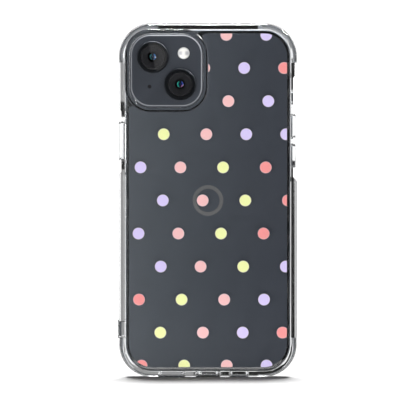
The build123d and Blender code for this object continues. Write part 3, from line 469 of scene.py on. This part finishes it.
def object_light(name, place, target, size, watts, high=None):
    """A softbox of size by high metres, square if high isn't given, that doesn't light the floor."""
    data = bpy.data.lights.new(name, "AREA")
    data.shape, data.size, data.size_y = "RECTANGLE", size, high or size
    data.energy = watts
    lamp = aim(bpy.data.objects.new(name, data), place, target)
    receivers(lamp, [bpy.data.objects["floor"]], "EXCLUDE")
    return lamp


def sun(name, lean, strength, spread):
    """Sunlight from above, leaning lean degrees towards the back, from a disc spread degrees wide."""
    data = bpy.data.lights.new(name, "SUN")
    data.energy, data.angle = strength, math.radians(spread)
    aim(bpy.data.objects.new(name, data), (0.0, math.tan(math.radians(lean)), 1.0), (0, 0, 0))


def add_lamps():
    sun("overhead", lean=10, strength=4.3, spread=14)
    left_front = object_light("left_front", (-0.55, -1.15, 0.08), (0, 0, 0.085), size=0.5, watts=6.6)
    object_light("top_right_rim", (0.75, -0.11, 0.95), (-0.018, 0, 0.13), size=0.25, watts=17.0)
    rear_fill = object_light("rear_fill", (0.35, 1.1, 0.4), (0, 0, 0.08), size=0.5, watts=2.5)
    low_fill = object_light("low_fill", (0.0, -0.035, 0.008), (0, 0, 0.002), 0.09, watts=0.009, high=0.008)
    front_fill = object_light("front_fill", (0.0, -0.22, 0.1), (0, 0, 0.09), 0.2, watts=0.08, high=0.1)
    for lamp in (left_front, rear_fill, low_fill, front_fill):
        lamp.visible_glossy = False
    for lamp in (low_fill, front_fill):
        lamp.visible_transmission = lamp.visible_camera = False


def add_world(strength):
    """White where the camera sees it, and dim for all other light."""
    world = bpy.data.worlds.new("studio")
    bpy.context.scene.world = world
    world.use_nodes = True
    tree = world.node_tree
    dim, white = tree.nodes["Background"], tree.nodes.new("ShaderNodeBackground")
    for background, light in ((dim, strength), (white, 1.0)):
        background.inputs["Color"].default_value = (1, 1, 1, 1)
        background.inputs["Strength"].default_value = light
    path, mix = tree.nodes.new("ShaderNodeLightPath"), tree.nodes.new("ShaderNodeMixShader")
    tree.links.new(path.outputs["Is Camera Ray"], mix.inputs["Fac"])
    tree.links.new(dim.outputs[0], mix.inputs[1])
    tree.links.new(white.outputs[0], mix.inputs[2])
    tree.links.new(mix.outputs[0], tree.nodes["World Output"].inputs["Surface"])


def add_camera():
    data = bpy.data.cameras.new("camera")
    data.sensor_width = 36
    data.lens = data.sensor_width * CAMERA_FAR / FRAME_TALL
    data.clip_start, data.clip_end = 0.1, 100
    back = Vector((0, -math.cos(CAMERA_UP), math.sin(CAMERA_UP)))
    camera = bpy.data.objects.new("camera", data)
    bpy.context.scene.camera = aim(camera, CENTRE + back * CAMERA_FAR, CENTRE)


# ---------------------------------------------------------------- studio cards
def card(name, corners, shade, seen_by, see_through=False):
    """A card of its own light, which one kind of ray sees, "gloss" or "clear", and all others pass.

    A see-through card adds its light to what lies behind it.
    """
    paint = Paint(name)
    glow = paint.node("ShaderNodeEmission")
    if callable(shade):
        paint.tree.links.new(shade(paint), glow.inputs["Color"])
    else:
        glow.inputs["Color"].default_value = (shade, shade, shade, 1)
    if see_through:
        hole = paint.node("ShaderNodeBsdfTransparent")
        glow = paint.node("ShaderNodeAddShader", {0: glow.outputs[0], 1: hole.outputs[0]})
    paint.tree.links.new(glow.outputs[0], paint.output.inputs["Surface"])
    paint.tree.nodes.remove(paint.shader)
    made = sheet(name, corners, paint)
    made.visible_camera = made.visible_shadow = made.visible_diffuse = False
    made.visible_glossy, made.visible_transmission = seen_by == "gloss", seen_by == "clear"
    return made


def flag(name, corners, light):
    """A card that only shows through clear plastic."""
    card(name, corners, light, "clear")


def side_flags(away=0.15):
    """Strips behind the two edges. Degrees are from the edge outwards, as seen from in front."""
    black, dark, grey, white = 0.01, 0.02, 0.36, 0.6
    whole_left, whole_right, outer_right = (-12, 16), (-12, 13), (13, 22)
    for name, side, light, degrees, (low, high) in (
            ("left_low", LEFT, grey, whole_left, (0.0, 0.083)),
            ("left_under_button", LEFT, dark, whole_left, (0.083, 0.088)),
            ("left_over_button", LEFT, dark, whole_left, (0.107, 0.114)),
            ("left_high", LEFT, grey, whole_left, (0.114, 0.134)),
            ("right_low", RIGHT, black, whole_right, (0.0, 0.087)),
            ("right_low_outer", RIGHT, white, outer_right, (0.0, 0.087)),
            ("right_high", RIGHT, black, whole_right, (0.115, 0.134))):
        near, far = (side * (cad_box[1].x + away * math.tan(math.radians(turn))) for turn in degrees)
        flag(name, facing(near, far, away, low, high), light)


def top_flag(light, half=0.0247, degrees=(2.0, 14.0), away=0.15):
    """A strip behind the object. Degrees are from its top edge upwards."""
    low, high = (cad_box[1].z + away * math.tan(math.radians(turn)) for turn in degrees)
    flag("top_flag", facing(-half, half, away, low, high), light)


def front_flag(light, half=0.0368, away=0.1, high=0.158):
    """Dark card in front, for what the flat clear faces would mirror of the floor."""
    flag("front_flag", facing(-half, half, -away, 0, high), light)


def floor_shadow_flag(light, half=0.033, near=0.009, far=0.06, high=0.0004):
    """Grey strip on the floor just behind, a painted shadow for what the bottom wall's rounded edge looks
    down on.
    """
    flag("floor_shadow_flag", level(-half, half, near, far, high), light)


def corner_glow(light=1.0, near=0.026, far=0.15, away=0.152, low=0.135, high=0.3):
    """White cards behind the two top corners, where the rounded edges look up past the floor."""
    for side, name in ((LEFT, "left_corner_glow"), (RIGHT, "right_corner_glow")):
        flag(name, facing(side * near, side * far, away, low, high), light)


def light_tent(light=1.0, away=0.45, high=0.35, near=-0.6, far=0.8):
    """White walls and a white ceiling, for the rays that clear edges bend far aside."""
    flag("tent_ceiling", level(-away, away, near, far, high), light)
    for side, name in ((LEFT, "tent_left"), (RIGHT, "tent_right")):
        x = side * away
        flag(name, [(x, near, 0), (x, far, 0), (x, far, high), (x, near, high)], light)


def sky_card(half=0.09, away=2.4, low=-0.22, high=0.13):
    """Soft reflection on what faces the camera, brighter towards the left; the camera glasses go without."""
    def shade(paint):
        return paint.ramp(paint.span(paint.axis("X"), -0.075, 0.075),
                          (0.05, (0.60, 0.66, 0.70)), (0.25, (0.36, 0.41, 0.44)), (0.5, (0.17, 0.20, 0.22)),
                          (0.75, (0.05, 0.06, 0.08)), (0.95, (0.0, 0.0, 0.02)))
    sky = card("sky_card", facing(-half, half, -away, low, high), shade, "gloss")
    receivers(sky, [NODES[f"{camera}_camera_cover_glass"] for camera in ("main", "ultrawide")], "EXCLUDE")


def lens_sheen(light=0.6, away=2.38):
    """Slanting reflection over the right part of the main camera's glass, on that camera's pieces only."""
    corners_on_glass = ((2, -7), (7, -7), (7, 7), (-1.9, 7))  # millimetres from its middle
    reach = (CAMERA_FAR + away) / CAMERA_FAR
    eye = CENTRE.z + CAMERA_FAR * math.sin(CAMERA_UP)
    pane = centre_of("main_camera_cover_glass")
    corners = [(reach * (pane.x + x * MM), -away, pane.z + z * MM - (reach - 1) * (eye - pane.z - z * MM))
               for x, z in corners_on_glass]
    sheen = card("lens_sheen", corners, light, "gloss", see_through=True)
    receivers(sheen, [obj for name, obj in NODES.items() if name.startswith("main_")], "INCLUDE")


def screen_sheen(half=1.6, away=2.2, low=-1.3, high=1.1):
    """Large soft gradient opposite the screen, for its gloss."""
    def shade(paint):
        lean = paint.maths("ADD", paint.axis("X"), paint.maths("MULTIPLY", paint.axis("Z"), 0.5))
        return paint.ramp(paint.span(lean, -1.2, 1.0),
                          (0.0, 0.02), (0.4, 0.12), (0.62, 0.5), (0.68, 0.9), (1.0, 0.5))
    card("screen_sheen", facing(-half, half, away, low, high), shade, "gloss")


# ---------------------------------------------------------------- the scene
# Colours of the painted glints on the cameras' inner lenses.
GLINT_BLUE = (0.04, 0.28, 0.85)
paint_nodes()
let_light_through()
add_inner_lens("main", "main_lens", left=(0.03, 0.34, 0.42), right=GLINT_BLUE, lower_glint=GLINT_BLUE)
add_inner_lens("ultrawide", "phone", left=(0.01, 0.60, 0.48), right=(0.04, 0.14, 1.0), lower_glint=(0.9, 0.35, 1.0))
add_flash()
add_contacts()

add_floor()
add_world(strength=0.1)
add_lamps()
side_flags()
top_flag(light=0.01)
front_flag(light=0.05)
# Painted floor shadow behind the object, seen only through the clear plastic.
floor_shadow_flag(light=0.28)
corner_glow()
light_tent()
sky_card()
lens_sheen()
screen_sheen()
add_camera()
bpy.context.scene.view_settings.view_transform = "Standard"
